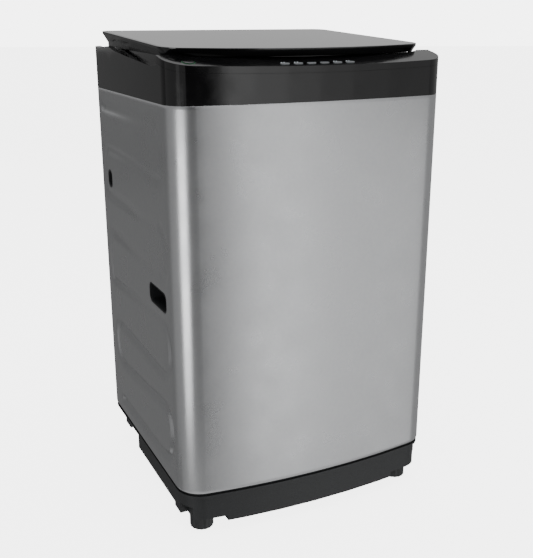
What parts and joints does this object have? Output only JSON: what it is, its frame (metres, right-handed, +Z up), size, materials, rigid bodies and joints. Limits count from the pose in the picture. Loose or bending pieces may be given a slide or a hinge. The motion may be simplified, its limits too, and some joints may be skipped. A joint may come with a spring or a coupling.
{
  "type": "top load washing machine",
  "caption": "Top load washing machine with a bowed silver cabinet, black base and top cover, sloping control panel, glass lid and a hung tub.",
  "frame": {"origin": "on the floor, under the middle of the bounding box of the body", "axes": "+Z up; the bowed front with the control panel faces -Y; +X is to the right of a person in front"},
  "size_m": [0.55, 0.505, 0.9343],
  "materials": {
    "silver_sheet": "satin metallic coated steel",
    "zinc_sheet": "galvanised sheet",
    "black_matte": "moulded, fine texture",
    "black_gloss": "piano black",
    "lamp_plastic": "clear silver",
    "lid_glass": "tinted tempered glass, black printed below",
    "white_plastic": "moulded polypropylene",
    "stainless": "stainless sheet",
    "steel": "machined",
    "aluminium": "die cast",
    "rubber": "matt",
    "board": "glass fibre board with solder mask",
    "filter_mesh": "moulded with net"
  },
  "bodies": {
    "cabinet": {"cabinet_wrap": "silver_sheet", "rear_panel": "zinc_sheet", "rear_service_cover": "black_matte", "base_frame": "black_matte", "grip_cup_left": "black_matte", "grip_cup_right": "black_matte", "side_bush_left": "black_matte", "side_bush_right": "black_matte", "hinge_pin_left": "steel", "hinge_pin_right": "steel", "top_cover": "black_gloss", "control_panel": "black_gloss", "control_board": "board", "lid_lock": "white_plastic", "drawer_housing": "white_plastic", "inlet_valve": "white_plastic", "suspension_rod_front_left": "steel", "suspension_rod_front_right": "steel", "suspension_rod_rear_left": "steel", "suspension_rod_rear_right": "steel"},
    "lid": {"lid_frame": "black_gloss", "lid_glass": "lid_glass", "lid_inner": "white_plastic"},
    "drawer": {"detergent_drawer": "white_plastic"},
    "tub": {"outer_tub": "white_plastic", "tub_cover": "white_plastic", "shaft_seal": "rubber", "clutch_housing": "aluminium", "bearing_upper": "steel", "bearing_lower": "steel", "mounting_plate": "zinc_sheet", "drive_belt": "rubber", "motor": "aluminium", "drain_valve": "white_plastic", "suspension_spring_front_left": "steel", "suspension_spring_front_right": "steel", "suspension_spring_rear_left": "steel", "suspension_spring_rear_right": "steel"},
    "basket": {"basket": "stainless", "basket_base": "white_plastic", "balance_ring": "white_plastic", "drive_flange": "aluminium", "lint_filter": "filter_mesh", "spin_shaft": "steel"},
    "pulsator": {"pulsator": "white_plastic", "wash_shaft": "steel"},
    "drive_pulley": {"drive_pulley": "aluminium"},
    "motor_pulley": {"motor_pulley": "aluminium"},
    "foot_front_left": {"foot_front_left": "black_matte"},
    "foot_front_right": {"foot_front_right": "black_matte"},
    "foot_rear_left": {"foot_rear_left": "black_matte"},
    "foot_rear_right": {"foot_rear_right": "black_matte"},
    "power_button": {"power_button": "black_gloss"},
    "program_button_1": {"program_button_1": "lamp_plastic"},
    "program_button_2": {"program_button_2": "lamp_plastic"},
    "program_button_3": {"program_button_3": "lamp_plastic"},
    "program_button_4": {"program_button_4": "lamp_plastic"},
    "program_button_5": {"program_button_5": "lamp_plastic"},
    "program_button_6": {"program_button_6": "lamp_plastic"}
  },
  "joints": [
    {"name": "lid_hinge", "type": "hinge", "parent": "cabinet", "child": "lid", "pos_m": [0, 0.232, 0.908], "axis": [-1, 0, 0], "range_deg": [0, 100]},
    {"name": "drawer_slide", "type": "slide", "parent": "cabinet", "child": "drawer", "axis": [0, -1, 0], "range_m": [0, 0.045]},
    {"name": "tub_suspension", "type": "slide", "parent": "cabinet", "child": "tub", "axis": [0, 0, 1], "range_m": [-0.03, 0.012], "stiffness_N_per_m": 16000, "springref_m": 0.01399, "deforming": ["suspension_spring_front_left", "suspension_spring_front_right", "suspension_spring_rear_left", "suspension_spring_rear_right"]},
    {"name": "basket_spin", "type": "hinge", "parent": "tub", "child": "basket", "pos_m": [0, 0.002, 0.33], "axis": [0, 0, 1], "continuous": true},
    {"name": "pulsator_spin", "type": "hinge", "parent": "basket", "child": "pulsator", "pos_m": [0, 0.002, 0.326], "axis": [0, 0, 1], "continuous": true},
    {"name": "drive_pulley_spin", "type": "hinge", "parent": "tub", "child": "drive_pulley", "pos_m": [0, 0.002, 0.168], "axis": [0, 0, 1], "continuous": true},
    {"name": "motor_pulley_spin", "type": "hinge", "parent": "tub", "child": "motor_pulley", "pos_m": [0.15, -0.07, 0.168], "axis": [0, 0, 1], "continuous": true},
    {"name": "power_button_press", "type": "slide", "parent": "cabinet", "child": "power_button", "axis": [0, 0.2149, -0.9766], "range_m": [0, 0.0009], "stiffness_N_per_m": 1500, "springref_m": -0.0002},
    {"name": "program_button_1_press", "type": "slide", "parent": "cabinet", "child": "program_button_1", "axis": [0, 0.2149, -0.9766], "range_m": [0, 0.0009], "stiffness_N_per_m": 1500, "springref_m": -0.0002},
    {"name": "program_button_2_press", "type": "slide", "parent": "cabinet", "child": "program_button_2", "axis": [0, 0.2149, -0.9766], "range_m": [0, 0.0009], "stiffness_N_per_m": 1500, "springref_m": -0.0002},
    {"name": "program_button_3_press", "type": "slide", "parent": "cabinet", "child": "program_button_3", "axis": [0, 0.2149, -0.9766], "range_m": [0, 0.0009], "stiffness_N_per_m": 1500, "springref_m": -0.0002},
    {"name": "program_button_4_press", "type": "slide", "parent": "cabinet", "child": "program_button_4", "axis": [0, 0.2149, -0.9766], "range_m": [0, 0.0009], "stiffness_N_per_m": 1500, "springref_m": -0.0002},
    {"name": "program_button_5_press", "type": "slide", "parent": "cabinet", "child": "program_button_5", "axis": [0, 0.2149, -0.9766], "range_m": [0, 0.0009], "stiffness_N_per_m": 1500, "springref_m": -0.0002},
    {"name": "program_button_6_press", "type": "slide", "parent": "cabinet", "child": "program_button_6", "axis": [0, 0.2149, -0.9766], "range_m": [0, 0.0009], "stiffness_N_per_m": 1500, "springref_m": -0.0002},
    {"name": "foot_front_left_screw", "type": "slide", "parent": "cabinet", "child": "foot_front_left", "axis": [0, 0, 1], "range_m": [-0.015, 0]},
    {"name": "foot_front_right_screw", "type": "slide", "parent": "cabinet", "child": "foot_front_right", "axis": [0, 0, 1], "range_m": [-0.015, 0]},
    {"name": "foot_rear_left_screw", "type": "slide", "parent": "cabinet", "child": "foot_rear_left", "axis": [0, 0, 1], "range_m": [-0.015, 0]},
    {"name": "foot_rear_right_screw", "type": "slide", "parent": "cabinet", "child": "foot_rear_right", "axis": [0, 0, 1], "range_m": [-0.015, 0]}
  ],
  "couplings": [
    {"joint": "pulsator_spin", "follows": "drive_pulley_spin", "ratio": 0.2381},
    {"joint": "motor_pulley_spin", "follows": "drive_pulley_spin", "ratio": 3.5417}
  ]
}
